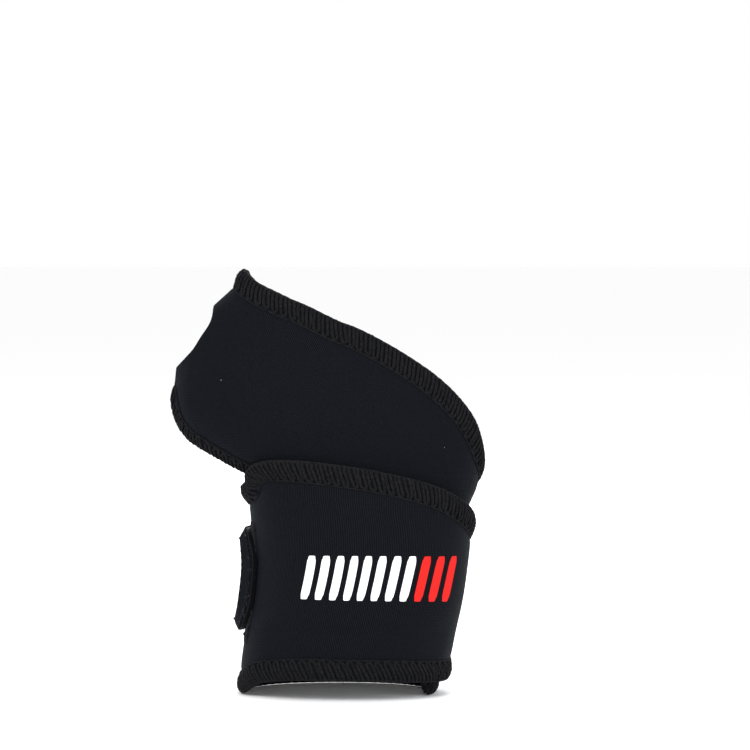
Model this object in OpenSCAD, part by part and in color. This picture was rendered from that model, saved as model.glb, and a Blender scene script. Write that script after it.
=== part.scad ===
// Wrist support brace, worn on the right hand with its cuff on the wrist.
// One strip of knit and foam laminate winds round the hand and the wrist as a spiral.
// A place on the wrap is [angle, height]. The wind angle is 0 on the thumb side, 90 on the
// back of the hand, 180 at the little finger and 270 on the palm. It grows past 360 where the
// strip overlaps itself, and is below 0 on the short flap that folds over to the palm.
// +Z points to the fingers, -Y out of the back of the hand, -X to the thumb.

/* [Laminate] */
// Thickness of the whole laminate: outer knit, foam and lining
laminate_t = 3; // [2.6:0.1:3]
// Thickness of the outer knit, and of the lining
knit_t = 0.35; // [0.2:0.05:0.4]
// How far the overlock thread stands over the fabric's edge
thread_t = 0.5; // [0.3:0.1:0.5]
// Width of the overlocked edge
edge_w = 6.5; // [5:0.5:7]
// Growth of the wrap's radius over its first full turn
turn_rise = 4.2; // [4.2:0.1:4.6]

/* [Thumb hole] */
// Height of the thumb hole
hole_h = 22; // [18:0.5:23]
// Width of the thumb hole, from its palm side to its back side
hole_w = 17; // [14:0.5:18]
// Height of the hole's centre above the cuff's lowest edge
hole_z = 127.4; // [126.5:0.1:128]

/* [Closure] */
// Thickness of the hook tape under the strap's end
hook_t = 1; // [0.7:0.1:1]
// Thickness of the loop patch that the hook tape grips
loop_t = 0.4; // [0.3:0.1:0.5]
// How far the hook tape reaches past the cut end of the strap, as a wind angle
hook_lip = 2.5; // [1:0.5:4]
// Length of one lockstitch
stitch_l = 2.4; // [2:0.2:3]

/* [Print] */
// Number of slanted bars in the printed row
bars = 11; // [8:1:12]
// Number of those bars that are red
red_bars = 3; // [1:1:4]
// Height of the printed bars
bar_h = 16; // [10:1:18]

/* [Hidden] */

// The form that the wrap follows, as [height, distance] stations on its four sides
THUMB_SIDE = [
    [-2, -26], [10, -24.5], [20, -23], [30, -21], [46, -19.5], [60, -20.5], [68, -21.5], [74, -24],
    [80, -28.5], [86, -39], [92, -48], [98, -52], [104, -53.5], [112, -52.5], [119, -51.5],
    [128, -47], [136, -40.5], [144, -32.5], [154, -27.5]
];
LITTLE_FINGER_SIDE = [
    [-2, 34], [10, 34.5], [20, 36], [34, 39], [48, 41], [58, 42.5], [64, 44], [70, 46.5], [76, 49],
    [84, 51], [100, 54], [125, 57], [154, 60]
];
BACK_OF_HAND = [[-2, 24], [20, 22.5], [45, 21], [65, 20.5], [80, 20], [100, 19], [120, 17], [154, 13.5]];
PALM = [[-2, 24], [20, 22.5], [45, 21], [65, 21], [80, 22], [100, 22], [120, 19], [154, 12]];
section_power = 0.88;           // below 1 makes the sections fuller than an ellipse
level_z = 20;                   // the wrap's layers lie level below this height
// The wrap's growth outwards along its wind, and the heights of its upper and lower edges
RISE = [
    [-100, 0], [0, 0], [360, turn_rise], [540, turn_rise * 1.5], [630, turn_rise * 1.8],
    [690, turn_rise * 2.12], [740, turn_rise * 2.24]
];
TOP_EDGE = [
    [-32, 146.5], [0, 151.5], [16, 150], [37, 146], [57, 142], [76, 137.5], [100, 128], [127, 115],
    [152, 101], [169, 90], [180, 85], [195, 81.5], [210, 80], [270, 78.5], [340, 78], [362, 78],
    [382, 80.5], [400, 84.5], [413, 86], [432, 85], [462, 79.5], [494, 74.5], [520, 69.5], [540, 65.5],
    [560, 63], [585, 62], [630, 61], [690, 60.5], [740, 60.5]
];
LOW_EDGE = [
    [0, 104], [2, 101], [4, 96.5], [9, 92], [15, 89], [20, 84], [25, 77], [31, 64], [40, 46], [50, 33],
    [65, 26.5], [100, 25], [128, 22], [145, 11], [155, 3], [162, 0], [340, 0], [372, 0.5], [396, 5],
    [408, 6], [428, 7], [445, 7], [476, 6.5], [524, 5], [540, 5], [560, 6.5], [585, 10], [630, 15.5],
    [690, 19.5], [740, 19.5]
];
FLAP_TOP_EDGE = [[-90, 132], [-75, 137], [-55, 142], [-32, 146.5], [0, 151.5]];
FLAP_LOW_EDGE = [[-90, 114], [-70, 110], [-45, 107], [-20, 105], [0, 104]];

flap_end = -90;                 // wind angle of the palm flap's free end
strap_start = 540;              // the strap leaves the cuff at the little finger side
strap_bend = 630;               // middle of the palm, where the strap's end begins
tab_start = 690;                // the last stretch, which is lifted by hand
tab_end = 735;                  // the strap's raw cut end, on the thumb side
tab_corner = 13;                // radius of the cut end's corners
joint_gap = 0.35;               // half the gap between two bodies, as a wind angle
steep_rim = 1.5;                // the most that a sloping rim grows in height
nap = 0.04;                     // the knit's nap, which keeps thread and patches just off its surface
steep_clear = 0.08;             // the same, along the hand wrap's steep lower edge
rim_gap = 0.2;                  // space between the laminate's cut rim and the thread around it
print_t = 0.12;                 // thickness of the printed ink
print_angles = [419, 513];      // the printed row's wind angles
red_first = 8;                  // white bars before the red ones, which end the row
print_z = 43;                   // height of the printed row's middle
bar_slant = 3;                  // how far a bar's top leans, as a wind angle
stitch_t = 0.3;                 // thickness of the lockstitch thread over the fabric
stitch_w = 0.7;                 // width of a stitch
centre = [0.2, -0.87];          // moves the bounding box's centre to the origin

// ---- Interpolation -------------------------------------------------------------------------
function span_of(tab, x, i = 0) = i >= len(tab) - 2 || x < tab[i + 1][0] ? i : span_of(tab, x, i + 1);
function slope_at(tab, i) =
    let (p = tab[max(i - 1, 0)], q = tab[min(i + 1, len(tab) - 1)]) (q[1] - p[1]) / (q[0] - p[0]);
function curve(tab, at) =
    let (
        x = min(max(at, tab[0][0]), tab[len(tab) - 1][0]),
        i = span_of(tab, x),
        h = tab[i + 1][0] - tab[i][0],
        u = (x - tab[i][0]) / h
    )
    (2 * pow(u, 3) - 3 * pow(u, 2) + 1) * tab[i][1] + (pow(u, 3) - 2 * pow(u, 2) + u) * h * slope_at(tab, i)
    + (3 * pow(u, 2) - 2 * pow(u, 3)) * tab[i + 1][1] + (pow(u, 3) - pow(u, 2)) * h * slope_at(tab, i + 1);

// ---- The form and places on the wrap -------------------------------------------------------
function signed_power(v) = sign(v) * pow(abs(v), section_power);
function form(a, z) =
    let (
        left = curve(THUMB_SIDE, z),
        right = curve(LITTLE_FINGER_SIDE, z),
        depth = sin(a) > 0 ? curve(BACK_OF_HAND, z) : curve(PALM, z)
    )
    [(left + right) / 2 - (right - left) / 2 * signed_power(cos(a)), -depth * signed_power(sin(a)), z];
// The outward direction; it turns level towards the cuff's lowest edge, so that edge stays flat
function outward(a, z, e = 0.5) =
    let (n = cross(form(a + e, z) - form(a - e, z), form(a, z + e) - form(a, z - e)))
    [n.x, n.y, n.z * min(max(z / level_z, 0), 1)] / norm(n);
function place(at, off) =
    form(at[0], at[1]) + outward(at[0], at[1]) * (curve(RISE, at[0]) + off) + [centre[0], centre[1], 0];

// ---- Edges of the fabric; the overlock thread reaches thread_t past them ---------------------
function top_edge(a) = curve(TOP_EDGE, a) - thread_t;
function low_edge(a) = max(curve(LOW_EDGE, a), 0) + thread_t;
function flap_top(a) = curve(FLAP_TOP_EDGE, a) - thread_t;
function flap_low(a) = curve(FLAP_LOW_EDGE, a) + thread_t;
// Height of the overlocked rim where the edge rises or falls along the wind
function rim_height(lo, hi, edge, a) =
    let (
        d = place([a + 2, edge(a + 2)], laminate_t) - place([a - 2, edge(a - 2)], laminate_t),
        h = edge_w * min(steep_rim, norm(d) / norm([d.x, d.y]))
    )
    min(h, (hi - lo) * 0.42);

// ---- Grids: a list of columns, each a list of [angle, height] from low to high ---------------
function column(a, inner_rows, low = function (b) low_edge(b), top = function (b) top_edge(b)) =
    let (
        lo = low(a),
        hi = top(a),
        lo_in = lo + rim_height(lo, hi, low, a),
        hi_in = hi - rim_height(lo, hi, top, a)
    )
    concat(
        [[a, lo], [a, lo_in]],
        [for (k = [1:inner_rows]) [a, lo_in + (hi_in - lo_in) * k / (inner_rows + 1)]],
        [[a, hi_in], [a, hi]]
    );
hand_angles = [
    joint_gap * 2, 2, 4, 6.5, 9, 12, 15, 17.5, 20, 22.5, 25, 28, 31, 34.5, 38, 42, 46, 51, 57, 68, 80, 92, 104, 116,
    128, 136, 143, 150, 155, 160, 170, 180
];
hand_grid = [for (a = hand_angles) column(a, 6)];
inner_grid = [for (a = [180:9:360]) column(a, 5)];
outer_grid = [for (k = [0:18]) column(360 + (180 - joint_gap) * k / 18, 4)];
strap_grid = [for (k = [0:10]) column(strap_start + joint_gap + (90 - 2 * joint_gap) * k / 10, 4)];
end_grid = [for (k = [0:8]) column(strap_bend + joint_gap + (60 - 2 * joint_gap) * k / 8, 4)];
base_from = 150;                // wind angle where the wrap's edge comes down to the cuff's base
base_grid = concat([for (c = hand_grid) if (c[0][0] >= base_from && c[0][0] < 180) c], inner_grid);
// The flap's columns lean so that its free end is round
flap_from = -joint_gap * 2;
flap_steps = [0, 0.08, 0.2, 0.35, 0.5, 0.65, 0.8, 0.9, 1];
flap_rows = [0, 0.16, 0.33, 0.5, 0.67, 0.84, 1];
function flap_round(v) = 16 * pow(abs(2 * v - 1), 2.5);
flap_grid = [
    for (s = flap_steps) [
        for (v = flap_rows)
            let (a = (flap_end + flap_round(v)) * (1 - s) + flap_from * s)
            [a, flap_low(a) + (flap_top(a) - flap_low(a)) * v]
    ]
];
// The tab's rows keep their height, and its cut end has round corners
tab_rows = [0, 0.06, 0.16, 0.3, 0.5, 0.7, 0.84, 0.94, 1];
function corner_cut(v, h) =
    let (d = min(v, 1 - v) * h) d >= tab_corner ? 0 : tab_corner - sqrt(pow(tab_corner, 2) - pow(tab_corner - d, 2));
function tab_column(s) = [
    for (v = tab_rows)
        let (
            lo = low_edge(tab_start),
            h = top_edge(tab_start) - lo,
            last = tab_end - corner_cut(v, h) * 1.5
        )
        [tab_start + joint_gap + (last - tab_start - joint_gap) * s, lo + h * v]
];
tab_grid = [for (k = [0:8]) tab_column(k / 8)];
hook_grid = concat([for (k = [1:8]) tab_grid[k]], [[for (at = tab_grid[8]) at + [hook_lip, 0]]]);
loop_grid = [for (a = [322:8:378]) [for (z = [17:7.5:62]) [a, z]]];

// ---- Solids on the wrap ----------------------------------------------------------------------
// Two triangles for the quad p, q, r, s
function quad(p, q, r, s) = [[p, q, r], [p, r, s]];
function flat(lists) = [for (l = lists) each l];

// A closed sheet over a grid, between two distances from the wrap's inner face
module slab(grid, inner, outer) {
    m = len(grid) - 1;
    n = len(grid[0]) - 1;
    function id(i, j, k) = (i * (n + 1) + j) * 2 + k;
    points = [for (c = grid) for (at = c) for (off = [inner, outer]) place(at, off)];
    skins = flat([
        for (i = [0:m - 1]) for (j = [0:n - 1]) concat(
            quad(id(i, j, 1), id(i, j + 1, 1), id(i + 1, j + 1, 1), id(i + 1, j, 1)),
            [for (t = quad(id(i, j, 0), id(i, j + 1, 0), id(i + 1, j + 1, 0), id(i + 1, j, 0))) [t[2], t[1], t[0]]]
        )
    ]);
    rims = flat([
        for (i = [0:m - 1]) concat(
            quad(id(i + 1, n, 0), id(i + 1, n, 1), id(i, n, 1), id(i, n, 0)),
            quad(id(i, 0, 0), id(i, 0, 1), id(i + 1, 0, 1), id(i + 1, 0, 0))
        )
    ]);
    ends = flat([
        for (j = [0:n - 1]) concat(
            quad(id(0, j, 0), id(0, j + 1, 0), id(0, j + 1, 1), id(0, j, 1)),
            quad(id(m, j, 0), id(m, j, 1), id(m, j + 1, 1), id(m, j + 1, 0))
        )
    ]);
    polyhedron(points, concat(skins, rims, ends));
}

// Overlock thread folded over a fabric edge: a channel between the edge and a line inside it.
// It is turned where the edge is a column of the grid instead of a row, and it stands clear of
// the fabric's two faces.
module overlock(edge, inside, turned = false, clear = nap) {
    m = len(edge) - 1;
    over = thread_t;
    under = thread_t * 0.7;
    // A point past the edge, square to it and level with the fabric
    function past(i, far, off) =
        let (
            along = place(edge[min(i + 1, m)], 0) - place(edge[max(i - 1, 0)], 0),
            side = cross(outward(edge[i][0], edge[i][1]), along)
        )
        place(edge[i], off) + side / norm(side) * far;
    ring = function (i) [
        place(inside[i], laminate_t + clear), place(inside[i], laminate_t + over),
        past(i, thread_t, laminate_t + over), past(i, thread_t, -under),
        place(inside[i], -under), place(inside[i], -clear),
        past(i, rim_gap, -clear), past(i, rim_gap, laminate_t + clear)
    ];
    points = flat([for (i = [0:m]) ring(i)]);
    // Each quad is split along the same diagonal as the laminate's quad beneath it
    sides = flat([
        for (i = [0:m - 1]) for (k = [0:7])
            let (p = i * 8 + k, q = i * 8 + (k + 1) % 8)
            (k == 3 || k >= 6) != turned ? quad(q, q + 8, p + 8, p) : quad(p, q, q + 8, p + 8)
    ]);
    cap = [[0, 1, 2, 7], [7, 2, 3, 6], [6, 3, 4, 5]];
    first = flat([for (q = cap) quad(q[3], q[2], q[1], q[0])]);
    last = flat([for (q = cap) quad(m * 8 + q[0], m * 8 + q[1], m * 8 + q[2], m * 8 + q[3])]);
    polyhedron(points, concat(sides, first, last));
}
function reversed(list) = [for (i = [len(list) - 1:-1:0]) list[i]];
module top_overlock(grid) {
    n = len(grid[0]) - 1;
    overlock([for (c = grid) c[n]], [for (c = grid) c[n - 1]]);
}
module low_overlock(grid, clear = nap) {
    back = reversed(grid);
    overlock([for (c = back) c[0]], [for (c = back) c[1]], clear = clear);
}

module face_layer(grid) { slab(grid, laminate_t - knit_t, laminate_t); }
module foam_layer(grid) { slab(grid, knit_t, laminate_t - knit_t); }
module lining_layer(grid) { slab(grid, 0, knit_t); }

// The thumb hole is cut along X through the thumb side of the hand wrap only
module thumb_hole() {
    translate([-80 + centre[0], centre[1], hole_z]) rotate([90, 0, 90]) linear_extrude(56)
        hull() {
            translate([0, (hole_h - hole_w) / 2]) circle(d = hole_w, $fn = 40);
            translate([0, (hole_w - hole_h) / 2]) circle(d = hole_w, $fn = 40);
        }
}

// One lockstitch between two places on a face at a given distance from the wrap's inner face
module stitch(from, to, base) {
    step = to - from;
    across = [-step[1], step[0]] / norm(step) * stitch_w / 2;
    slab([[from + across, from - across], [to + across, to - across]], base, base + stitch_t);
}

// ---- Hand wrap ---------------------------------------------------------------------------------
module hand_face() {
    color([0.10, 0.11, 0.14]) difference() { face_layer(hand_grid); thumb_hole(); }
}
module hand_foam() {
    color([0.06, 0.06, 0.07]) difference() { foam_layer(hand_grid); thumb_hole(); }
}
module hand_lining() {
    color([0.08, 0.08, 0.10]) difference() { lining_layer(hand_grid); thumb_hole(); }
}
module hand_top_overlock() { color([0.13, 0.12, 0.12]) top_overlock(hand_grid); }
module hand_low_overlock() {
    color([0.13, 0.12, 0.12]) low_overlock([for (c = hand_grid) if (c[0][0] <= base_from) c], steep_clear);
}

// ---- Palm flap ---------------------------------------------------------------------------------
module flap_face() {
    color([0.10, 0.11, 0.14]) difference() { face_layer(flap_grid); thumb_hole(); }
}
module flap_foam() {
    color([0.06, 0.06, 0.07]) difference() { foam_layer(flap_grid); thumb_hole(); }
}
module flap_lining() {
    color([0.08, 0.08, 0.10]) difference() { lining_layer(flap_grid); thumb_hole(); }
}
module flap_overlock() {
    n = len(flap_rows) - 1;
    inner_columns = [for (i = [1:len(flap_grid) - 1]) flap_grid[i]];
    color([0.13, 0.12, 0.12]) {
        top_overlock(inner_columns);
        low_overlock(inner_columns);
        overlock([for (j = [1:n - 1]) flap_grid[0][j]], [for (j = [1:n - 1]) flap_grid[1][j]], true);
    }
}

// ---- Cuff: the inner turn, then the outer turn over the back of the wrist ------------------------
module cuff_inner_face() { color([0.10, 0.11, 0.14]) face_layer(inner_grid); }
module cuff_inner_foam() { color([0.06, 0.06, 0.07]) foam_layer(inner_grid); }
module cuff_inner_lining() { color([0.08, 0.08, 0.10]) lining_layer(inner_grid); }
module cuff_inner_top_overlock() { color([0.13, 0.12, 0.12]) top_overlock(inner_grid); }
module cuff_base_overlock() { color([0.13, 0.12, 0.12]) low_overlock(base_grid); }
module cuff_outer_face() { color([0.10, 0.11, 0.14]) face_layer(outer_grid); }
module cuff_outer_foam() { color([0.06, 0.06, 0.07]) foam_layer(outer_grid); }
module cuff_outer_lining() { color([0.08, 0.08, 0.10]) lining_layer(outer_grid); }
module cuff_outer_top_overlock() { color([0.13, 0.12, 0.12]) top_overlock(outer_grid); }
module cuff_outer_low_overlock() { color([0.13, 0.12, 0.12]) low_overlock(outer_grid); }
module loop_patch() { color([0.05, 0.05, 0.06]) slab(loop_grid, laminate_t + nap, laminate_t + loop_t); }
module loop_stitching() {
    color([0.16, 0.15, 0.15]) for (z = [19.5, 59.5]) for (a = [325:6:373])
        stitch([a, z], [a + 4, z], laminate_t + loop_t);
}

// ---- Print: a row of slanted bars ----------------------------------------------------------------
module print_bar(i) {
    pitch = (print_angles[1] - print_angles[0]) / bars;
    a = print_angles[0] + pitch * i;
    slab([
        for (s = [0, 0.3, 0.6]) [
            for (v = [0, 0.5, 1]) [a + pitch * s + bar_slant * v, print_z + bar_h * (v - 0.5)]
        ]
    ], laminate_t + nap, laminate_t + nap + print_t);
}
function is_red(i) = i >= red_first && i < red_first + red_bars;
module white_print() { color("white") for (i = [0:bars - 1]) if (!is_red(i)) print_bar(i); }
module red_print() { color([0.85, 0.2, 0.18]) for (i = [0:bars - 1]) if (is_red(i)) print_bar(i); }

// ---- Strap over the palm, and its tab --------------------------------------------------------------
module strap_face() { color([0.10, 0.11, 0.14]) face_layer(strap_grid); }
module strap_foam() { color([0.06, 0.06, 0.07]) foam_layer(strap_grid); }
module strap_lining() { color([0.08, 0.08, 0.10]) lining_layer(strap_grid); }
module strap_overlock() {
    color([0.13, 0.12, 0.12]) { top_overlock(strap_grid); low_overlock(strap_grid); }
}
module strap_end_face() { color([0.10, 0.11, 0.14]) face_layer(end_grid); }
module strap_end_foam() { color([0.06, 0.06, 0.07]) foam_layer(end_grid); }
module strap_end_lining() { color([0.08, 0.08, 0.10]) lining_layer(end_grid); }
module strap_end_overlock() {
    color([0.13, 0.12, 0.12]) { top_overlock(end_grid); low_overlock(end_grid); }
}
module tab_face() { color([0.10, 0.11, 0.14]) face_layer(tab_grid); }
module tab_foam() { color([0.06, 0.06, 0.07]) foam_layer(tab_grid); }
module tab_lining() { color([0.08, 0.08, 0.10]) lining_layer(tab_grid); }
module hook_tape() { color([0.03, 0.03, 0.04]) slab(hook_grid, -hook_t, -nap); }
module hook_stitching() {
    color([0.16, 0.15, 0.15]) {
        for (z = [28:stitch_l * 1.25:52]) stitch([729, z], [729, z + stitch_l], laminate_t);
        for (z = [22.5, 57.5]) for (a = [700:5:718]) stitch([a, z], [a + 3.6, z], laminate_t);
    }
}

hand_face();
hand_foam();
hand_lining();
hand_top_overlock();
hand_low_overlock();
flap_face();
flap_foam();
flap_lining();
flap_overlock();
cuff_inner_face();
cuff_inner_foam();
cuff_inner_lining();
cuff_inner_top_overlock();
cuff_base_overlock();
cuff_outer_face();
cuff_outer_foam();
cuff_outer_lining();
cuff_outer_top_overlock();
cuff_outer_low_overlock();
loop_patch();
loop_stitching();
white_print();
red_print();
strap_face();
strap_foam();
strap_lining();
strap_overlock();
strap_end_face();
strap_end_foam();
strap_end_lining();
strap_end_overlock();
tab_face();
tab_foam();
tab_lining();
hook_tape();
hook_stitching();
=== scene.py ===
"""Wrist support brace: fabric, overlock thread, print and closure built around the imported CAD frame.

Shapes are worked out in millimetres on the wrap, where a place is a wind angle in degrees and a
height, as in the CAD, and are turned into metres when a mesh is made.
"""

import math

import bpy
import numpy as np
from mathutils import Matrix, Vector


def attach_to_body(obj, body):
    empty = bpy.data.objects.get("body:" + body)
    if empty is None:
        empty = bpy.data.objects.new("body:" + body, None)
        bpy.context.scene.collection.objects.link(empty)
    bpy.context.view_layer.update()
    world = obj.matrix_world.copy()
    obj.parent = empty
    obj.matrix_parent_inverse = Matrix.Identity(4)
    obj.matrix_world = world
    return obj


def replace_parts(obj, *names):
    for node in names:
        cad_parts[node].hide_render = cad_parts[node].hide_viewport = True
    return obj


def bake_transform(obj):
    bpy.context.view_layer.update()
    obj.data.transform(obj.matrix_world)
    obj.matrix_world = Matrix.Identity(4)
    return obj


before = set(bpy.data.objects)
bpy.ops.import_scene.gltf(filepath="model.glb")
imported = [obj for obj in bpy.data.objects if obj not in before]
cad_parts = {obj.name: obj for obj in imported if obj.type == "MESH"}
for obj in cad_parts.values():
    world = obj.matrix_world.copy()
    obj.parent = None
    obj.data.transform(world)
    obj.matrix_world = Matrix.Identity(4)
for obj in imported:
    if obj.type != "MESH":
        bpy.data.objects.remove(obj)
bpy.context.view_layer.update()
random = np.random.default_rng(7)

# ---- The wrap's form, the same as the CAD's ---------------------------------------------------
LAMINATE, KNIT, TURN_RISE = 3.0, 0.35, 4.2
THREAD = 0.5
CENTRE = np.array([0.2, -0.87, 0])
SECTION_POWER, LEVEL_Z = 0.88, 20
THUMB_SIDE = [
    (-2, -26), (10, -24.5), (20, -23), (30, -21), (46, -19.5), (60, -20.5), (68, -21.5),
    (74, -24), (80, -28.5), (86, -39), (92, -48), (98, -52), (104, -53.5), (112, -52.5),
    (119, -51.5), (128, -47), (136, -40.5), (144, -32.5), (154, -27.5),
]
LITTLE_FINGER_SIDE = [
    (-2, 34), (10, 34.5), (20, 36), (34, 39), (48, 41), (58, 42.5), (64, 44), (70, 46.5),
    (76, 49), (84, 51), (100, 54), (125, 57), (154, 60),
]
BACK_OF_HAND = [
    (-2, 24), (20, 22.5), (45, 21), (65, 20.5), (80, 20), (100, 19), (120, 17), (154, 13.5),
]
PALM = [(-2, 24), (20, 22.5), (45, 21), (65, 21), (80, 22), (100, 22), (120, 19), (154, 12)]
RISE = [
    (-100, 0), (0, 0), (360, TURN_RISE), (540, TURN_RISE * 1.5), (630, TURN_RISE * 1.8),
    (690, TURN_RISE * 2.12), (740, TURN_RISE * 2.24),
]
TOP_EDGE = [
    (-32, 146.5), (0, 151.5), (16, 150), (37, 146), (57, 142), (76, 137.5), (100, 128), (127, 115),
    (152, 101), (169, 90), (180, 85), (195, 81.5), (210, 80), (270, 78.5), (340, 78), (362, 78),
    (382, 80.5), (400, 84.5), (413, 86), (432, 85), (462, 79.5), (494, 74.5), (520, 69.5),
    (540, 65.5), (560, 63), (585, 62), (630, 61), (690, 60.5), (740, 60.5),
]
LOW_EDGE = [
    (0, 104), (2, 101), (4, 96.5), (9, 92), (15, 89), (20, 84), (25, 77), (31, 64), (40, 46),
    (50, 33), (65, 26.5), (100, 25), (128, 22), (145, 11), (155, 3), (162, 0), (340, 0), (372, 0.5),
    (396, 5), (408, 6), (428, 7), (445, 7), (476, 6.5), (524, 5), (540, 5), (560, 6.5), (585, 10),
    (630, 15.5), (690, 19.5), (740, 19.5),
]
FLAP_TOP_EDGE = [(-90, 132), (-75, 137), (-55, 142), (-32, 146.5), (0, 151.5)]
FLAP_LOW_EDGE = [(-90, 114), (-70, 110), (-45, 107), (-20, 105), (0, 104)]
FLAP_END, FLAP_ROUND = -90, 16
TAB_START, TAB_END, TAB_CORNER = 690, 735, 13
HOLE_Y, HOLE_Z, HOLE_W, HOLE_H = -0.87, 127.4, 17, 22
PRINT_ANGLES, PRINT_Z, BAR_H, BARS, RED_FIRST, RED_BARS = (419, 514), 43, 16, 11, 8, 3
LOOP_ANGLES, LOOP_HEIGHTS = (322, 377), (17, 62)
HOOK, LOOP, HOOK_LIP, HOOK_SINK, HOOK_START = 1.0, 0.4, 2.5, 0.4, 696
TAB_ROW, TAB_WIDTH = 700, 40  # the wind angle at which the tab's lower edge is read
NAP = 0.04
FLAP_LENGTH = 62  # the flap's rough length along its middle
MEAN_RADIUS = 36  # turns a wind angle in radians into a rough length round the wrap
MM_PER_DEGREE = 0.62  # the same for degrees
LAYER_GAP = 0.02  # keeps two layers' faces apart
EDGE_STEP, REACH = 0.5, 8.0  # the step along and across the edge's table, and how far in it goes


def curve(table, at):
    x, y = np.array(table, float).T
    order = np.arange(len(x))
    before, after = np.maximum(order - 1, 0), np.minimum(order + 1, len(x) - 1)
    slope = (y[after] - y[before]) / (x[after] - x[before])
    at = np.clip(at, x[0], x[-1])
    k = np.clip(np.searchsorted(x, at, side="right") - 1, 0, len(x) - 2)
    h = x[k + 1] - x[k]
    u = (at - x[k]) / h
    return (
        (2 * u**3 - 3 * u**2 + 1) * y[k] + (u**3 - 2 * u**2 + u) * h * slope[k]
        + (3 * u**2 - 2 * u**3) * y[k + 1] + (u**3 - u**2) * h * slope[k + 1]
    )


def signed_power(v):
    return np.sign(v) * np.abs(v) ** SECTION_POWER


def form(a, z):
    angle = np.radians(a)
    left, right = curve(THUMB_SIDE, z), curve(LITTLE_FINGER_SIDE, z)
    depth = np.where(np.sin(angle) > 0, curve(BACK_OF_HAND, z), curve(PALM, z))
    x = (left + right) / 2 - (right - left) / 2 * signed_power(np.cos(angle))
    return np.stack([x, -depth * signed_power(np.sin(angle)), z + 0 * x], -1)


def unit(v):
    return v / np.maximum(np.linalg.norm(v, axis=-1, keepdims=True), 1e-9)


def outward(a, z, e=0.5):
    n = unit(np.cross(form(a + e, z) - form(a - e, z), form(a, z + e) - form(a, z - e)))
    n[..., 2] *= np.clip(z / LEVEL_Z, 0, 1)
    return n


def place(a, z, off):
    a, z, off = np.broadcast_arrays(np.asarray(a, float), np.asarray(z, float), np.asarray(off, float))
    return form(a, z) + outward(a, z) * (curve(RISE, a) + off)[..., None] + CENTRE


def top_edge(a):
    return np.where(a < -32, curve(FLAP_TOP_EDGE, a), curve(TOP_EDGE, a)) - THREAD


def low_edge(a):
    return np.where(a < 0, curve(FLAP_LOW_EDGE, a), np.maximum(curve(LOW_EDGE, a), 0)) + THREAD


def tab_last(v):
    """Wind angle of the strap's cut end, in a row at the share v of its width."""
    d = np.minimum(np.minimum(v, 1 - v) * TAB_WIDTH, TAB_CORNER)
    return TAB_END - (TAB_CORNER - np.sqrt(TAB_CORNER**2 - (TAB_CORNER - d) ** 2)) * 1.5


def flap_last(v):
    return FLAP_END + FLAP_ROUND * np.abs(2 * v - 1) ** 2.5


# ---- The overlocked edge: one line round the whole strip ----------------------------------------
def edge_line():
    """The edge from the tab's hinge back along the low side, round the flap and along the top."""
    low = np.arange(TAB_START, -74, -0.25)
    v = np.linspace(0, 1, 160)
    high = np.arange(-74, TAB_START, 0.25)
    end_z = low_edge(flap_last(v)) + (top_edge(flap_last(v)) - low_edge(flap_last(v))) * v
    a = np.concatenate([low, flap_last(v)[1:-1], high])
    z = np.concatenate([low_edge(low), end_z[1:-1], top_edge(high)])
    points = place(a, z, LAMINATE / 2)
    length = np.concatenate([[0], np.cumsum(np.linalg.norm(np.diff(points, axis=0), axis=1))])
    t = np.arange(0, length[-1], EDGE_STEP)
    a, z = np.interp(t, length, a), np.interp(t, length, z)
    for _ in range(6):
        a[1:-1] = (a[:-2] + 2 * a[1:-1] + a[2:]) / 4
        z[1:-1] = (z[:-2] + 2 * z[1:-1] + z[2:]) / 4
    return t, a, z


EDGE_T, EDGE_A, EDGE_Z = edge_line()
EDGE_P = place(EDGE_A, EDGE_Z, LAMINATE / 2)


def edge_sides():
    """Unit vectors that point out of the fabric, square to its edge."""
    along = np.gradient(EDGE_P, axis=0)
    for _ in range(8):
        along[1:-1] = (along[:-2] + 2 * along[1:-1] + along[2:]) / 4
    return unit(np.cross(outward(EDGE_A, EDGE_Z), along))


EDGE_SIDE = edge_sides()


def edge_table():
    """Wind angles and heights on lines that run inwards, square to the edge."""
    steps = int(REACH / EDGE_STEP)
    a, z = EDGE_A.copy(), EDGE_Z.copy()
    rows_a, rows_z = [a], [z]
    for _ in range(steps):
        pa = (place(a + 0.2, z, 2) - place(a - 0.2, z, 2)) / 0.4
        pz = (place(a, z + 0.2, 2) - place(a, z - 0.2, 2)) / 0.4
        aa, az, zz = (pa * pa).sum(-1), (pa * pz).sum(-1), (pz * pz).sum(-1)
        ra, rz = -(EDGE_SIDE * pa).sum(-1), -(EDGE_SIDE * pz).sum(-1)
        det = aa * zz - az * az
        da, dz = (zz * ra - az * rz) / det, (aa * rz - az * ra) / det
        size = np.linalg.norm(pa * da[:, None] + pz * dz[:, None], axis=1)
        a, z = a + da / size * EDGE_STEP, z + dz / size * EDGE_STEP
        rows_a.append(a)
        rows_z.append(z)
    return np.stack(rows_a, 1), np.stack(rows_z, 1)


TABLE_A, TABLE_Z = edge_table()


# ---- Surface of the laminate --------------------------------------------------------------------
def softness(a, z):
    """Slow waves of the soft fabric."""
    s = np.radians(a) * MEAN_RADIUS
    return (
        0.16 * np.sin(s / 17 + z / 23 + 1.1) * np.sin(z / 13 - s / 31 + 0.4)
        + 0.10 * np.sin(s / 7.5 - z / 11 + 2.3) * np.sin(z / 8.5 + 0.7)
    )


def crease(a, z):
    """The outer turn sinks a little below the lower edge of the hand wrap under it."""
    over = np.clip((a - 396) / 12, 0, 1) * np.clip((518 - a) / 14, 0, 1)
    return -0.75 * over / (1 + np.exp((z - 25.5) / 0.7)) * np.clip((z - 8) / 6, 0, 1)


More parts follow.
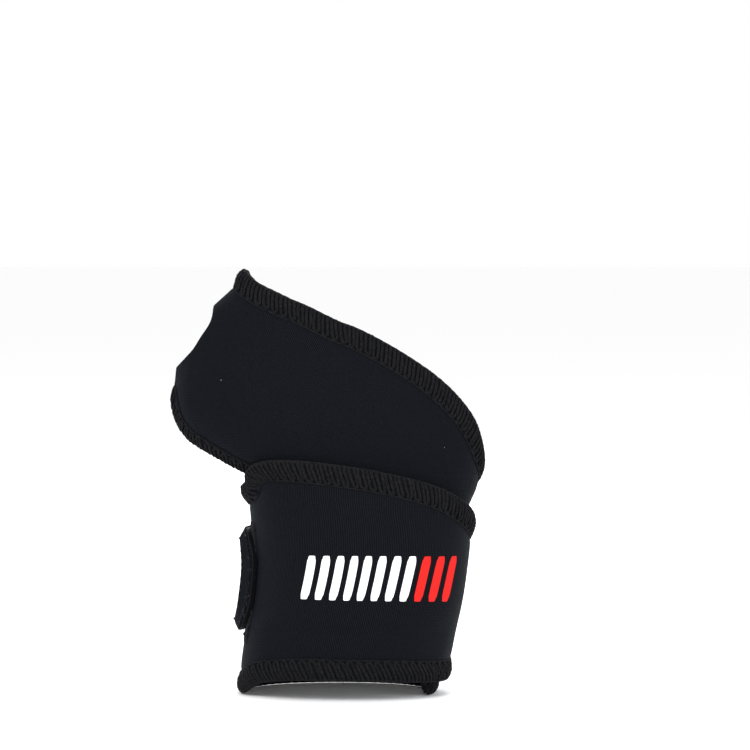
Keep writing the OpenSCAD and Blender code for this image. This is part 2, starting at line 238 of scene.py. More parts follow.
def thickness(d):
    """Thickness of the laminate at a distance from its sewn edge."""
    distances = [0, 0.6, 1.4, 2.6, 4, 5.4, 6.4, 7.2, 8.4, 11]
    changes = [-1.0, -0.55, -0.2, 0.0, -0.05, -0.4, -0.75, -0.5, -0.14, 0]
    return LAMINATE + np.interp(d, distances, changes)


def raw_pinch(a, z):
    """The strap's raw end is pressed thin along its cut edges."""
    lo, hi = low_edge(TAB_START + 0 * a), top_edge(TAB_START + 0 * a)
    v = (z - lo) / (hi - lo)
    to_end = (tab_last(np.clip(v, 0, 1)) - a) * MM_PER_DEGREE
    to_side = np.minimum(z - lo, hi - z)
    near = np.minimum(np.maximum(to_end, 0), np.maximum(to_side, 0))
    return 2.1 * np.exp(-((near / 2.1) ** 2)) * np.clip((a - TAB_START + 4) / 10, 0, 1)


def lie(a, z):
    base_hold = np.clip(z / 12, 0, 1) * np.clip((740 - a) / 50, 0, 1)
    return (softness(a, z) + crease(a, z)) * base_hold


def outer_face(a, z, d):
    return thickness(d) - raw_pinch(a, z) + lie(a, z)


def inner_face(a, z, d):
    return (LAMINATE - thickness(d)) * 0.35 + lie(a, z)


# ---- The grid of places for the whole strip -----------------------------------------------------
EDGE_ROWS = [0, 0.5, 1.2, 2, 3, 4.2, 5.3, 6, 6.6, 7.2, 8, 9.2]
MIDDLE_ROWS = 40


def spread(first, last, z, step):
    fine = np.linspace(first, last, 800)
    p = form(fine, z + 0 * fine)
    s = np.concatenate([[0], np.cumsum(np.linalg.norm(np.diff(p, axis=0), axis=1))])
    return np.interp(np.linspace(0, s[-1], max(2, round(s[-1] / step)) + 1), s, fine)


def steepness(edge, a):
    d = place(a + 1, edge(a + 1), LAMINATE) - place(a - 1, edge(a - 1), LAMINATE)
    return np.minimum(np.linalg.norm(d, axis=-1) / np.linalg.norm(d[..., :2], axis=-1), 2.2)


def row_heights(a):
    lo, hi = low_edge(a), top_edge(a)
    low_scale = np.minimum(steepness(low_edge, a), (hi - lo) * 0.46 / EDGE_ROWS[-1])
    top_scale = np.minimum(steepness(top_edge, a), (hi - lo) * 0.46 / EDGE_ROWS[-1])
    lows = lo[:, None] + np.array(EDGE_ROWS) * low_scale[:, None]
    tops = hi[:, None] - np.array(EDGE_ROWS[::-1]) * top_scale[:, None]
    share = np.arange(1, MIDDLE_ROWS + 1) / (MIDDLE_ROWS + 1)
    middle = lows[:, -1:] + (tops[:, :1] - lows[:, -1:]) * share
    return np.concatenate([lows, middle, tops], 1)


def strip_grid():
    """Columns of wind angle and height, from the flap's free end to the strap's cut end."""
    main = np.concatenate([
        spread(0, 60, 100, 1.1), spread(60, 150, 100, 1.5)[1:], spread(150, 360, 45, 1.7)[1:],
        spread(360, 500, 45, 1.3)[1:], spread(500, 585, 45, 1.4)[1:], spread(585, 660, 45, 1.5)[1:],
        spread(660, 690, 45, 1.3)[1:],
    ])
    a = np.repeat(main[:, None], 2 * len(EDGE_ROWS) + MIDDLE_ROWS, 1)
    z = row_heights(main)
    # The flap's columns lean so that its free end is round
    first_steps = np.array(EDGE_ROWS) / FLAP_LENGTH
    steps = np.concatenate([first_steps, np.linspace(first_steps[-1], 1, 34)[1:-1]])
    base = row_heights(np.zeros(1))[0]
    v = (base - base[0]) / (base[-1] - base[0])
    flap_a = flap_last(v)[None] * (1 - steps[:, None])
    flap_z = low_edge(flap_a) + (top_edge(flap_a) - low_edge(flap_a)) * v
    # The tab's rows keep their height
    tab_steps = np.linspace(0, 1, 27)[1:]
    tab_z = z[-1]
    w = (tab_z - tab_z[0]) / (tab_z[-1] - tab_z[0])
    tab_a = TAB_START + (tab_last(w)[None] - TAB_START) * tab_steps[:, None]
    tab_z = np.repeat(tab_z[None], len(tab_a), 0)
    return np.concatenate([flap_a, a, tab_a]), np.concatenate([flap_z, z, tab_z])


def edge_distance(a, z):
    """Distance of each place from the sewn edge, over the same turn of the wrap."""
    out = np.full(a.shape, 99.0)
    points = place(a, z, LAMINATE / 2)
    for i in range(len(a)):
        near = (EDGE_A > a[i].min() - 22) & (EDGE_A < a[i].max() + 22)
        if a[i].max() > TAB_START:
            continue
        if near.any():
            gap = points[i][:, None] - EDGE_P[near][None]
            out[i] = np.sqrt((gap * gap).sum(-1)).min(1)
    fade = np.clip((a - TAB_START + 12) / 12, 0, 1)
    return out + fade * 20


GRID_A, GRID_Z = strip_grid()
GRID_D = edge_distance(GRID_A, GRID_Z)
GRID_N = GRID_A.shape


def grid_normals(surface):
    p = place(GRID_A, GRID_Z, surface(GRID_A, GRID_Z, GRID_D))
    return unit(np.cross(np.gradient(p, axis=0), np.gradient(p, axis=1)))


OUTER_N = grid_normals(outer_face)
INNER_N = -grid_normals(inner_face)


def cloth_coordinates():
    """Distance along each row from the middle of the back of the hand or of the cuff."""
    p = place(GRID_A, GRID_Z, LAMINATE)
    steps = np.linalg.norm(np.diff(p, axis=0), axis=2)
    s = np.concatenate([np.zeros((1, GRID_N[1])), np.cumsum(steps, axis=0)])
    middles = [s[np.argmin(np.abs(GRID_A[:, 0] - angle))] for angle in (90, 450)]
    return s - np.where(GRID_A < 270, *middles)


GRID_S = cloth_coordinates()


def in_hole(a, z):
    """Distance inside the thumb hole's outline: positive inside."""
    p = place(a, z, LAMINATE / 2)
    y, h = p[..., 1] - HOLE_Y, p[..., 2] - HOLE_Z
    straight = (HOLE_H - HOLE_W) / 2
    reach = np.hypot(y, h - np.clip(h, -straight, straight))
    inside = HOLE_W / 2 - reach
    return np.where((a > -40) & (a < 40), inside, -9.0)


def open_hole():
    """Cells that stay, with the places around the hole moved onto its outline."""
    corners = in_hole(GRID_A, GRID_Z)
    keep = ~((corners[:-1, :-1] + corners[1:, :-1] + corners[1:, 1:] + corners[:-1, 1:]) / 4 > 0)
    gone = ~keep
    touch = np.zeros(GRID_N, bool)
    whole = np.zeros(GRID_N, int)
    for i in (0, 1):
        for j in (0, 1):
            touch[i:GRID_N[0] - 1 + i, j:GRID_N[1] - 1 + j] |= gone
            whole[i:GRID_N[0] - 1 + i, j:GRID_N[1] - 1 + j] += keep
    rim = touch & (whole > 0)
    a, z = GRID_A.copy(), GRID_Z.copy()
    for _ in range(12):
        f = in_hole(a[rim], z[rim])
        ga = (in_hole(a[rim] + 0.1, z[rim]) - in_hole(a[rim] - 0.1, z[rim])) / 0.2
        gz = (in_hole(a[rim], z[rim] + 0.1) - in_hole(a[rim], z[rim] - 0.1)) / 0.2
        # A degree is about a third of a millimetre here, so its steps weigh nine times as much
        degree_weight = 9.0
        size = np.maximum(ga * ga * degree_weight + gz * gz, 0.05)
        a[rim] -= np.clip(f * ga * degree_weight / size, -1.5, 1.5)
        z[rim] -= np.clip(f * gz / size, -0.6, 0.6)
    band = (np.abs(corners) < 4) & ~rim
    for _ in range(6):
        for grid in (a, z):
            mean = grid.copy()
            mean[1:-1, 1:-1] = (grid[:-2, 1:-1] + grid[2:, 1:-1] + grid[1:-1, :-2] + grid[1:-1, 2:]) / 4
            grid[band] = mean[band]
    return keep, a, z


KEEP, GRID_A, GRID_Z = open_hole()

# ---- Meshes -------------------------------------------------------------------------------------
# First and last wind angle, bodies, and where the fabric turns between them
ZONES = {
    "hand": (-91, 150, ("hand_wrap", "palm_flap"), (-50, -8, 120), (-50, 8, 120)),
    "cuff": (150, 500, ("hand_wrap",), None, None),
    "strap": (500, 585, ("hand_wrap", "strap"), (53, -12, 35), (53, 12, 35)),
    "strap_end": (585, 660, ("strap", "strap_end"), (22, 31, 35), (-4, 31, 35)),
    "tab": (660, 737, ("strap_end", "tab"), (-28.5, 19.5, 40), (-33, 7, 40)),
}
NODES = {
    "hand": ("hand", "flap"), "cuff": ("cuff_inner", "cuff_outer"), "strap": ("strap",),
    "strap_end": ("strap_end",), "tab": ("tab",),
}


def attach(piece, zone):
    bodies, start, end = ZONES[zone][2:]
    if start is None:
        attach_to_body(piece, bodies[0])
    else:
        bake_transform(piece)


def make_mesh(name, points, faces, material, normals=None, cloth=None, smooth=True):
    mesh = bpy.data.meshes.new(name)
    mesh.from_pydata((np.asarray(points) / 1000).tolist(), [], [list(map(int, f)) for f in faces])
    if cloth is not None:
        attribute = mesh.attributes.new("cloth", "FLOAT_VECTOR", "POINT")
        attribute.data.foreach_set("vector", np.asarray(cloth, np.float32).ravel())
    mesh.polygons.foreach_set("use_smooth", [smooth] * len(mesh.polygons))
    if normals is not None:
        mesh.normals_split_custom_set(normals.tolist())
    mesh.materials.append(material)
    piece = bpy.data.objects.new(name, mesh)
    bpy.context.collection.objects.link(piece)
    return piece


def quad_cells(rows, columns):
    i, j = np.meshgrid(np.arange(rows - 1), np.arange(columns - 1), indexing="ij")
    first = i * columns + j
    return np.stack([first, first + columns, first + columns + 1, first + 1], -1)


def close_solid(top, bottom, top_normals, bottom_normals, cells):
    """Points, faces and loop normals of a closed sheet between two grids of points."""
    count = len(top)
    starts, ends = cells.ravel(), np.roll(cells, -1, axis=1).ravel()
    codes, back = starts * count + ends, ends * count + starts
    free = ~np.isin(codes, back)
    u, v = starts[free], ends[free]
    rims = np.stack([v, u, u + count, v + count], 1)
    faces = np.concatenate([cells, cells[:, ::-1] + count, rims])
    points = np.concatenate([top, bottom])
    vertex_normals = np.concatenate([top_normals, bottom_normals])
    normals = vertex_normals[faces]
    r = points[rims]
    flat = unit(np.cross(r[:, 1] - r[:, 0], r[:, 3] - r[:, 0]))
    normals[-len(rims):] = flat[:, None]
    used = np.unique(faces)
    where = np.zeros(len(points), int)
    where[used] = np.arange(len(used))
    return points[used], where[faces], normals.reshape(-1, 3), used


def layer(name, zone, top_surface, bottom_surface, material, stride=1):
    """One layer of the laminate over one zone of the strip."""
    lo, hi = ZONES[zone][:2]
    middle = GRID_A[:, GRID_N[1] // 2]
    inside = np.where((middle >= lo - 1e-6) & (middle <= hi + 1e-6))[0]
    columns = inside[(inside - inside[0]) % stride == 0]
    if columns[-1] != inside[-1]:
        columns = np.append(columns, inside[-1])
    rows = np.unique(np.append(np.arange(0, GRID_N[1], stride), GRID_N[1] - 1))
    if stride > 1 and zone == "hand":
        columns, rows = inside, np.arange(GRID_N[1])
    pick = np.ix_(columns, rows)
    a, z, d = GRID_A[pick], GRID_Z[pick], GRID_D[pick]
    cells = quad_cells(len(columns), len(rows))
    if zone == "hand":
        cells = cells[KEEP[columns[0]:columns[-1], :]]
    cells = cells.reshape(-1, 4)
    top, bottom = (place(a, z, s(a, z, d)).reshape(-1, 3) for s in (top_surface, bottom_surface))
    points, faces, normals, used = close_solid(
        top, bottom, OUTER_N[pick].reshape(-1, 3), INNER_N[pick].reshape(-1, 3), cells
    )
    lean = 1.0 if zone == "hand" else 0.0
    cloth = np.stack([GRID_S[pick].ravel(), z.ravel(), np.full(a.size, lean)], 1)
    return make_mesh(name, points, faces, material, normals, np.concatenate([cloth, cloth])[used])


def make_laminate(materials):
    knit_in = lambda a, z, d: outer_face(a, z, d) - KNIT
    foam_top = lambda a, z, d: outer_face(a, z, d) - KNIT - LAYER_GAP
    foam_bottom = lambda a, z, d: inner_face(a, z, d) + KNIT + LAYER_GAP
    lining_top = lambda a, z, d: inner_face(a, z, d) + KNIT
    for zone in ZONES:
        for kind, surfaces, slot, stride in (
            ("face", (outer_face, knit_in), "outer_knit", 1),
            ("foam", (foam_top, foam_bottom), "foam", 3),
            ("lining", (lining_top, inner_face), "lining_knit", 2),
        ):
            piece = layer(f"wrap_{zone}_{kind}", zone, *surfaces, materials[slot], stride)
            attach(piece, zone)
            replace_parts(piece, *[f"{part}_{kind}" for part in NODES[zone]])


# ---- Thread -------------------------------------------------------------------------------------
def table_at(t, w):
    """Wind angle and height at a length along the edge and a distance inwards."""
    i = np.clip(t / EDGE_STEP, 0, len(EDGE_T) - 1.001)
    j = np.clip(w / EDGE_STEP, 0, TABLE_A.shape[1] - 1.001)
    i0, j0 = i.astype(int), j.astype(int)
    fi, fj = i - i0, j - j0
    out = []
    for table in (TABLE_A, TABLE_Z):
        out.append(
            table[i0, j0] * (1 - fi) * (1 - fj) + table[i0 + 1, j0] * fi * (1 - fj)
            + table[i0, j0 + 1] * (1 - fi) * fj + table[i0 + 1, j0 + 1] * fi * fj
        )
    return out


RIM_R = 1.1
RIM_ARC = math.pi * RIM_R


def around_edge(t, q, lift):
    """Points and outward directions on the fabric's edge. q is the distance from the rim over the
    outer face, and below 0 it goes round the rim and on along the inner face."""
    d = np.maximum(np.maximum(q, -(q + RIM_ARC)), 0)
    a, z = table_at(t, d)
    up = outward(a, z)
    i = np.clip(t / EDGE_STEP, 0, len(EDGE_T) - 1).astype(int)
    side = EDGE_SIDE[i]
    turn = np.clip(-q / RIM_ARC, 0, 1) * math.pi
    outer, inner = outer_face(a, z, d) + lift, inner_face(a, z, d) - lift
    middle, half = (outer + inner) / 2, (outer - inner) / 2
    off = middle + half * np.cos(turn)
    p = place(a, z, off) + side * (np.sin(turn) * (0.1 + 0.9 * lift))[:, None]
    n = up * np.cos(turn)[:, None] + side * np.sin(turn)[:, None]
    return p, unit(n)


def resample(path, step):
    length = np.concatenate([[0], np.cumsum(np.linalg.norm(np.diff(path, axis=0), axis=1))])
    at = np.linspace(0, length[-1], max(3, int(length[-1] / step) + 1))
    return np.stack([np.interp(at, length, path[:, k]) for k in range(path.shape[1])], 1)


def tube(points, ups, radius, sides=5):
    along = unit(np.gradient(points, axis=0))
    across = unit(np.cross(along, ups))
    up = np.cross(across, along)
    turn = np.arange(sides) / sides * 2 * math.pi
    r = np.broadcast_to(radius, (len(points),))[:, None, None]
    rings = points[:, None] + r * (
        across[:, None] * np.cos(turn)[None, :, None] + up[:, None] * np.sin(turn)[None, :, None]
    )
    n, k = len(points), np.arange(sides)
    base = (np.arange(n - 1) * sides)[:, None]
    nxt = (k + 1) % sides
    faces = np.stack([base + k, base + nxt, base + sides + nxt, base + sides + k], -1).reshape(-1, 4)
    caps = [list(range(sides))[::-1], [(n - 1) * sides + s for s in range(sides)]]
    return rings.reshape(-1, 3), faces.tolist() + caps


class Bundle:
    """Tubes gathered into one mesh."""

    def __init__(self):
        self.points, self.faces, self.count = [], [], 0

    def add(self, points, faces):
        self.points.append(points)
        self.faces += [[v + self.count for v in f] for f in faces]
        self.count += len(points)

    def build(self, name, material):
        return make_mesh(name, np.concatenate(self.points), self.faces, material)


PITCH, LEAN, INNER_LINE = 3.3, 2.9, 6.3


def yarn(bundle, path, plies, ply_r, swirl, twist=3.2, lift=0.3, step=0.6, fuzz=0.08):
    """A soft thread of several plies along a path of (length along the edge, q)."""
    path = resample(path, step)
    for _ in range(2):
        path[1:-1] = (path[:-2] + 2 * path[1:-1] + path[2:]) / 4
    p, n = around_edge(path[:, 0], path[:, 1], lift)
    along = unit(np.gradient(p, axis=0))
    across = unit(np.cross(along, n))
    length = np.concatenate([[0], np.cumsum(np.linalg.norm(np.diff(p, axis=0), axis=1))])
    for k in range(plies):
        phase = length / twist * 2 * math.pi + k * 2 * math.pi / plies
        wander = random.normal(0, fuzz, (len(p), 2))
        q = p + across * (np.cos(phase) * swirl + wander[:, 0])[:, None]
        q = q + n * (np.sin(phase) * swirl * 0.6 + wander[:, 1] * 0.6)[:, None]
        bundle.add(*tube(q, n, ply_r * (1 + random.normal(0, 0.08, len(p))), 5))


def stitch_runs(zone):
    """Runs of whole stitches whose edge lies in a zone, as first and last stitch numbers."""
    lo, hi = ZONES[zone][:2]
    starts = np.arange(0, EDGE_T[-1] - LEAN - PITCH - 1, PITCH)
    angle = np.interp(starts, EDGE_T, EDGE_A)
    inside = (angle >= lo) & (angle < hi)
    runs, begun = [], None
    for k, here in enumerate(inside):
        if here and begun is None:
            begun = k
        if begun is not None and (not here or k == len(inside) - 1):
            runs.append((begun, k if not here else k + 1))
            begun = None
    return runs


def make_overlock(zone, material):
    bundle = Bundle()
    for first, last in stitch_runs(zone):
        bars, under = [], []
        for k in range(first, last):
            t = k * PITCH
            j = random.normal(0, 0.2, 6)
            bars += [
                (t + 0.05, -RIM_ARC * 0.45), (t + 0.1, 0.1), (t + LEAN + j[0], INNER_LINE - 0.6 + j[1]),
                (t + LEAN + 0.35, INNER_LINE + j[2]), (t + LEAN + PITCH / 2 - 0.1, INNER_LINE + j[3]),
                (t + LEAN + PITCH / 2 + 0.1, INNER_LINE - 0.6), (t + PITCH / 2 + 0.15 + j[4], 0.1),
                (t + PITCH / 2 + 0.05, -RIM_ARC * 0.45),
            ]
            under += [
                (t + 0.1, -RIM_ARC * 0.5), (t + 0.4, -RIM_ARC - 0.2), (t + 1.5, -RIM_ARC - 5.4),
                (t + 2.1, -RIM_ARC - 5.4), (t + 1.8, -RIM_ARC - 0.2), (t + 1.7, -RIM_ARC * 0.5),
            ]
        yarn(bundle, np.array(bars), plies=3, ply_r=0.29, swirl=0.31)
        # Packed thread fills the rim and the gaps between the bars
        bed = np.arange(first * PITCH, last * PITCH, 1.1)
        for share, lift, r in ((-0.5, -0.3, 0.75), (-0.12, -0.35, 0.55), (-0.88, -0.35, 0.5)):
            p, n = around_edge(bed, np.full(len(bed), RIM_ARC * share), lift)
            bundle.add(*tube(p, n, r, 8))
        yarn(bundle, np.array(under), plies=1, ply_r=0.4, swirl=0.0, lift=0.22, step=0.8)
        t = np.arange(first * PITCH, last * PITCH, 0.55)
        dip = 0.28 + 0.16 * np.abs(np.sin(t / PITCH * math.pi))
        for q, lift, r in (
            (-RIM_ARC * 0.28, 0.42, 0.3), (-RIM_ARC * 0.7, 0.36, 0.3), (INNER_LINE + 0.45, 0.3, 0.24)
        ):
            p, n = around_edge(t + (LEAN if q > 0 else 0), np.full(len(t), q), lift * dip / 0.36)
            bundle.add(*tube(p, n, r, 6))
    piece = bundle.build(f"overlock_{zone}", material)
    attach(piece, zone)
    return piece


OVERLOCK_NODES = {
    "hand": ("hand_top_overlock", "hand_low_overlock", "flap_overlock"),
    "cuff": (
        "cuff_inner_top_overlock", "cuff_base_overlock", "cuff_outer_top_overlock",
        "cuff_outer_low_overlock",
    ),
    "strap": ("strap_overlock",), "strap_end": ("strap_end_overlock",),
}


# ---- Flat pieces on the strip: print, loop patch, hook tape ---------------------------------------
def patch(name, a, z, low_off, high_off, material):
    """A closed sheet over its own grid of places, between two distances from the inner face."""
    d = edge_distance(a, z)
    top = place(a, z, high_off(a, z, d))
    bottom = place(a, z, low_off(a, z, d))
    n = unit(np.cross(np.gradient(top, axis=0), np.gradient(top, axis=1)))
    cells = quad_cells(*a.shape).reshape(-1, 4)
    points, faces, normals, used = close_solid(
        top.reshape(-1, 3), bottom.reshape(-1, 3), n.reshape(-1, 3), -n.reshape(-1, 3), cells
    )
    cloth = np.stack([np.radians(a).ravel() * MEAN_RADIUS, z.ravel(), 0 * a.ravel()], 1)
    return make_mesh(name, points, faces, material, normals, np.concatenate([cloth, cloth])[used])


def soft_border(a, z, width=2.0):
    """0 on the border of a patch and 1 a little inside it."""
    inside = np.minimum(
        np.minimum(a - a.min(), a.max() - a) * MM_PER_DEGREE, np.minimum(z - z.min(), z.max() - z)
    )
    return np.clip(inside / width, 0, 1) ** 0.5


def print_bar(i, material):
    row = spread(*PRINT_ANGLES, PRINT_Z, 0.25)
    shares = np.linspace(0, BARS, len(row))
    u, v = np.meshgrid(np.linspace(-1, 1, 9), np.linspace(-1, 1, 21), indexing="ij")
    # Corners are rounded by drawing the grid's corners in
    round_off = 1 - 0.16 * (np.abs(u * v)) ** 6
    half_width, slant = 0.3, 0.36
    across = half_width + half_width * u * round_off + slant * (v * round_off + 1) / 2
    a = np.interp(i + across, shares, row)
    z = PRINT_Z + BAR_H / 2 * v * round_off
    ink_low = lambda a, z, d: outer_face(a, z, d) + LAYER_GAP
    ink_top = lambda a, z, d: outer_face(a, z, d) + 0.1
    return patch(f"print_bar_{i + 1}", a, z, ink_low, ink_top, material)


def make_print(materials):
    for i in range(BARS):
        red = RED_FIRST <= i < RED_FIRST + RED_BARS
        slot = "red_ink" if red else "white_ink"
        piece = print_bar(i, materials[slot])
        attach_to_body(piece, "hand_wrap")
        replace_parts(piece, "red_print" if red else "white_print")


def lockstitches(bundle, places, surface, radius=0.26):
    """Short sunk stitches between pairs of places."""
    for (a0, z0), (a1, z1) in places:
        s = np.linspace(0, 1, 9)
        a, z = a0 + (a1 - a0) * s, z0 + (z1 - z0) * s
        off = surface + radius * 1.1 * np.sin(s * math.pi) ** 0.6 - radius * 0.6
        p = place(a, z, off + lie(a, z))
        bundle.add(*tube(p, outward(a, z), radius, 6))


def make_closure(materials):
    a, z = np.meshgrid(
        np.linspace(*LOOP_ANGLES, 60), np.linspace(*LOOP_HEIGHTS, 50), indexing="ij"
    )
    pile_low = lambda a, z, d: outer_face(a, z, d) + NAP
    pile_top = lambda a, z, d: outer_face(a, z, d) + NAP + 0.06 + (LOOP - 0.1) * soft_border(a, z)
    loops = patch("loop_pile_patch", a, z, pile_low, pile_top, materials["loop_pile"])
    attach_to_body(loops, "hand_wrap")
    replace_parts(loops, "loop_patch")
    bundle = Bundle()
    rows = [((a, z), (a + 4, z)) for z in (19.5, 59.5) for a in range(325, 374, 6)]
    rows += [((a, z), (a, z + 2.2)) for a in (324, 376) for z in np.arange(21, 57, 3)]
    lockstitches(bundle, rows, LAMINATE + LOOP + 0.1)
    piece = bundle.build("loop_patch_stitches", materials["stitch_thread"])
    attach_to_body(piece, "hand_wrap")
    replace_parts(piece, "loop_stitching")

    u, v = np.meshgrid(np.linspace(0, 1, 34), np.linspace(0, 1, 44), indexing="ij")
    v = 0.015 + 0.97 * v
    last = tab_last(v) + HOOK_LIP
    a = HOOK_START + (last - HOOK_START) * u
    z = low_edge(np.array(float(TAB_ROW))) + TAB_WIDTH * v
    hooks_low = lambda a, z, d: -HOOK - HOOK_SINK + lie(a, z)
    hooks_top = lambda a, z, d: -NAP + lie(a, z)
    tape = patch("hook_tape_sheet", a, z, hooks_low, hooks_top, materials["hook_tape"])
    attach(tape, "tab")
    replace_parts(tape, "hook_tape")
    bundle = Bundle()
    rows = [((729.5, z), (729.5, z + 2.3)) for z in np.arange(27, 53, 3)]
    rows += [((a, z), (a + 3.6, z)) for z in (23.5, 56.5) for a in range(699, 722, 5)]
    lockstitches(bundle, rows, LAMINATE)
    piece = bundle.build("hook_tape_stitches", materials["stitch_thread"])
    attach(piece, "tab")
    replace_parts(piece, "hook_stitching")


def make_frays(material, count=34):
    """Loose fibres at the strap's raw cut end, most of them near its lower corner."""
    bundle = Bundle()
    v = 0.06 + 0.88 * random.random(count) ** 2
    a, z = tab_last(v), low_edge(np.array(float(TAB_ROW))) + TAB_WIDTH * v
    for a0, z0 in zip(a, z):
        steps = np.linspace(0, 1, 7)
        reach, turn = random.uniform(0.8, 2.4), random.uniform(-1.2, 1.2, 2)
        angle = a0 - 0.8 + steps * reach / MM_PER_DEGREE * math.cos(turn[0])
        height = z0 + steps * reach * math.sin(turn[0])
        off = 0.6 + steps * turn[1] * 0.8 + 0.5 * steps**2
        p = place(angle, height, off)
        bundle.add(*tube(p, outward(angle, height), 0.07 * (1.15 - steps), 4))
    piece = bundle.build("frayed_fibres", material)
    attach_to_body(piece, "tab")


# ---- Materials ------------------------------------------------------------------------------------
def material(name, colour, roughness, sheen=0.0, sheen_tint=(1, 1, 1), specular=0.5):
    """A plain material, with its nodes, its links and its shader for what is added to it."""
    m = bpy.data.materials.new(name)
    m.use_nodes = True
    shader = m.node_tree.nodes["Principled BSDF"]
    shader.inputs["Base Color"].default_value = (*colour, 1)
    shader.inputs["Roughness"].default_value = roughness
    shader.inputs["Specular IOR Level"].default_value = specular
    if sheen:
        shader.inputs["Sheen Weight"].default_value = sheen
        shader.inputs["Sheen Tint"].default_value = (*sheen_tint, 1)
        shader.inputs["Sheen Roughness"].default_value = 0.45
    return m, m.node_tree.nodes, m.node_tree.links, shader


def node(nodes, kind, **values):
    n = nodes.new(kind)
    for key, value in values.items():
        setattr(n, key, value)
    return n


def maths(nodes, links, operation, a, b=None, c=None):
    n = node(nodes, "ShaderNodeMath", operation=operation)
    for socket, value in zip(n.inputs, (a, b, c)):
        if value is None:
            continue
        if isinstance(value, (int, float)):
            socket.default_value = value
        else:
            links.new(value, socket)
    return n.outputs[0]


def knit_material(name, colour, light, wale, course, depth, sheen, tint, lint=True):
    """A fine knit: ribs along one way of the cloth, crossed by stitches, from the cloth attribute."""
    m, nodes, links, shader = material(name, colour, 0.6, sheen, tint, 0.02)
    cloth = node(nodes, "ShaderNodeAttribute", attribute_name="cloth")
    split = node(nodes, "ShaderNodeSeparateXYZ")
    links.new(cloth.outputs["Vector"], split.inputs[0])
    s, z, lean = split.outputs
    # On the hand the ribs run on a slant
    slanted = maths(nodes, links, "MULTIPLY", maths(nodes, links, "MULTIPLY", z, 0.75), lean)
    across = maths(nodes, links, "ADD", s, slanted)
    wales = maths(nodes, links, "SINE", maths(nodes, links, "MULTIPLY", across, 2 * math.pi / wale))
    stitches = maths(nodes, links, "SINE", maths(nodes, links, "MULTIPLY", z, 2 * math.pi / course))
    crossed = maths(nodes, links, "MULTIPLY", wales, stitches)
    both = maths(nodes, links, "MULTIPLY_ADD", crossed, 0.5, wales)
    coords = node(nodes, "ShaderNodeTexCoord")
    fibre = node(nodes, "ShaderNodeTexNoise")
    fibre.inputs["Scale"].default_value = 2600
    fibre.inputs["Detail"].default_value = 3
    links.new(coords.outputs["Object"], fibre.inputs["Vector"])
    height = maths(nodes, links, "MULTIPLY_ADD", fibre.outputs["Fac"], 2.2, both)
    bump = node(nodes, "ShaderNodeBump")
    bump.inputs["Strength"].default_value = 0.55
    bump.inputs["Distance"].default_value = depth
    links.new(height, bump.inputs["Height"])
    links.new(bump.outputs[0], shader.inputs["Normal"])
    ramp = node(nodes, "ShaderNodeMapRange")
    ramp.inputs["From Min"].default_value = 0.4
    ramp.inputs["From Max"].default_value = 2.6
    links.new(height, ramp.inputs["Value"])
    shade = node(nodes, "ShaderNodeMix", data_type="RGBA")
    shade.inputs["A"].default_value = (*colour, 1)
    shade.inputs["B"].default_value = (*light, 1)
    links.new(ramp.outputs["Result"], shade.inputs["Factor"])
    last = shade.outputs["Result"]
    if lint:
        specks = node(nodes, "ShaderNodeTexVoronoi")
        specks.inputs["Scale"].default_value = 95
        links.new(coords.outputs["Object"], specks.inputs["Vector"])
        near = maths(nodes, links, "LESS_THAN", specks.outputs["Distance"], 0.018)
        pale = node(nodes, "ShaderNodeMix", data_type="RGBA")
        pale.inputs["B"].default_value = (0.16, 0.17, 0.19, 1)
        links.new(last, pale.inputs["A"])
        links.new(near, pale.inputs["Factor"])
        last = pale.outputs["Result"]
    links.new(last, shader.inputs["Base Color"])
    return m


def rough_material(
    name, colour, light, scale, depth, roughness=0.85, sheen=0.03, tint=(0.8, 0.85, 1)
):
    """A dull material broken up by a fine noise: foam, thread, pile or ink."""
    m, nodes, links, shader = material(name, colour, roughness, sheen, tint, 0.03)
    coords = node(nodes, "ShaderNodeTexCoord")
    noise = node(nodes, "ShaderNodeTexNoise")
    noise.inputs["Scale"].default_value = scale
    noise.inputs["Detail"].default_value = 4
    links.new(coords.outputs["Object"], noise.inputs["Vector"])
    bump = node(nodes, "ShaderNodeBump")
    bump.inputs["Strength"].default_value = 0.6
    bump.inputs["Distance"].default_value = depth
    links.new(noise.outputs["Fac"], bump.inputs["Height"])
    links.new(bump.outputs[0], shader.inputs["Normal"])
    ramp = node(nodes, "ShaderNodeMapRange")
    ramp.inputs["From Min"].default_value = 0.3
    ramp.inputs["From Max"].default_value = 0.7
    links.new(noise.outputs["Fac"], ramp.inputs["Value"])
    shade = node(nodes, "ShaderNodeMix", data_type="RGBA")
    shade.inputs["A"].default_value = (*colour, 1)
    shade.inputs["B"].default_value = (*light, 1)
    links.new(ramp.outputs["Result"], shade.inputs["Factor"])
    links.new(shade.outputs["Result"], shader.inputs["Base Color"])
    return m


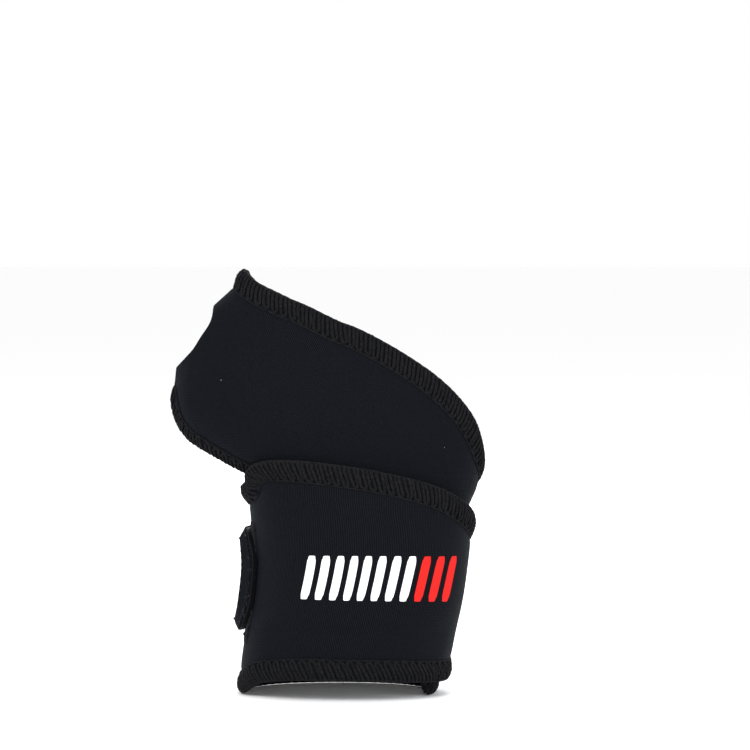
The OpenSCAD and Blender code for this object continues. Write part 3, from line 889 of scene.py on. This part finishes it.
def make_materials():
    blue, pale_blue = (0.55, 0.68, 1.0), (0.9, 0.92, 1.0)
    return {
        "outer_knit": knit_material(
            "black_knit", (0.0017, 0.0019, 0.0027), (0.0092, 0.0102, 0.0134), wale=0.65, course=0.9,
            depth=0.00014, sheen=0.016, tint=blue,
        ),
        "lining_knit": knit_material(
            "lining_knit", (0.0045, 0.0048, 0.0058), (0.011, 0.0115, 0.0135), wale=0.8, course=1.1,
            depth=0.00015, sheen=0.02, tint=blue, lint=False,
        ),
        "foam": rough_material(
            "rubber_foam", (0.0030, 0.0030, 0.0035), (0.0080, 0.0080, 0.0090), 900, 0.0002
        ),
        "overlock_thread": rough_material(
            "overlock_thread", (0.0040, 0.0040, 0.0046), (0.0125, 0.0122, 0.0135), 1500, 0.0002,
            roughness=0.8, sheen=0.026, tint=pale_blue,
        ),
        "stitch_thread": rough_material(
            "stitch_thread", (0.006, 0.006, 0.007), (0.017, 0.017, 0.019), 1800, 0.0001
        ),
        "fibre": rough_material(
            "loose_fibre", (0.05, 0.05, 0.055), (0.15, 0.155, 0.17), 900, 0.0001
        ),
        "hook_tape": rough_material(
            "hook_tape", (0.0010, 0.0010, 0.0013), (0.0042, 0.0042, 0.0050), 1500, 0.0004,
            roughness=0.5,
        ),
        "loop_pile": rough_material(
            "loop_pile", (0.0025, 0.0025, 0.0030), (0.0085, 0.0085, 0.0100), 1300, 0.0005,
            roughness=0.95,
        ),
        "white_ink": rough_material(
            "white_ink", (0.74, 0.75, 0.76), (0.82, 0.83, 0.84), 1800, 0.00006,
            roughness=0.55, sheen=0.0,
        ),
        "red_ink": rough_material(
            "red_ink", (0.50, 0.014, 0.012), (0.58, 0.020, 0.017), 1800, 0.00006,
            roughness=0.55, sheen=0.0,
        ),
    }


# ---- Stage ----------------------------------------------------------------------------------------
def area_light(name, place_at, aim, size, power, colour=(1, 1, 1)):
    light = bpy.data.lights.new(name, "AREA")
    light.shape, light.size, light.energy, light.color = "DISK", size, power, colour
    lamp = bpy.data.objects.new(name, light)
    bpy.context.collection.objects.link(lamp)
    lamp.location = place_at
    lamp.rotation_euler = (Vector(aim) - Vector(place_at)).to_track_quat("-Z", "Y").to_euler()


def make_stage():
    half = 30.0
    corners = [(-half, -half, 0), (half, -half, 0), (half, half, 0), (-half, half, 0)]
    mesh = bpy.data.meshes.new("floor")
    mesh.from_pydata(corners, [], [(0, 1, 2, 3)])
    mesh.materials.append(material("pale_floor", (0.97, 0.97, 0.97), 0.9)[0])
    floor = bpy.data.objects.new("floor", mesh)
    bpy.context.collection.objects.link(floor)
    floor.location.z = -0.0005
    world = bpy.data.worlds.new("studio")
    world.use_nodes = True
    world.node_tree.nodes["Background"].inputs["Color"].default_value = (1, 1, 1, 1)
    world.node_tree.nodes["Background"].inputs["Strength"].default_value = 1.0
    bpy.context.scene.world = world
    bpy.context.scene.view_settings.view_transform = "Standard"
    area_light("key", (-0.7, -1.3, 1.1), (0, 0, 0.08), 0.9, 22)
    area_light("fill", (1.0, -0.9, 0.5), (0, 0, 0.08), 0.8, 9, (0.9, 0.95, 1.0))
    area_light("back", (0.2, 1.2, 1.0), (0, 0, 0.1), 0.9, 16)


def make_camera():
    distance, elevation = 1.3, math.radians(2)
    aim = Vector((0.0168, -0.00087, 0.1141))
    data = bpy.data.cameras.new("camera")
    data.lens, data.sensor_width = 173.3, 36
    camera = bpy.data.objects.new("camera", data)
    bpy.context.collection.objects.link(camera)
    camera.location = aim - distance * Vector((0, math.cos(elevation), -math.sin(elevation)))
    camera.rotation_euler = (aim - camera.location).to_track_quat("-Z", "Y").to_euler()
    bpy.context.scene.camera = camera


make_camera()
make_stage()
materials = make_materials()
make_laminate(materials)
for zone, nodes_replaced in OVERLOCK_NODES.items():
    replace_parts(make_overlock(zone, materials["overlock_thread"]), *nodes_replaced)
make_overlock("tab", materials["overlock_thread"])
make_print(materials)
make_closure(materials)
make_frays(materials["fibre"])
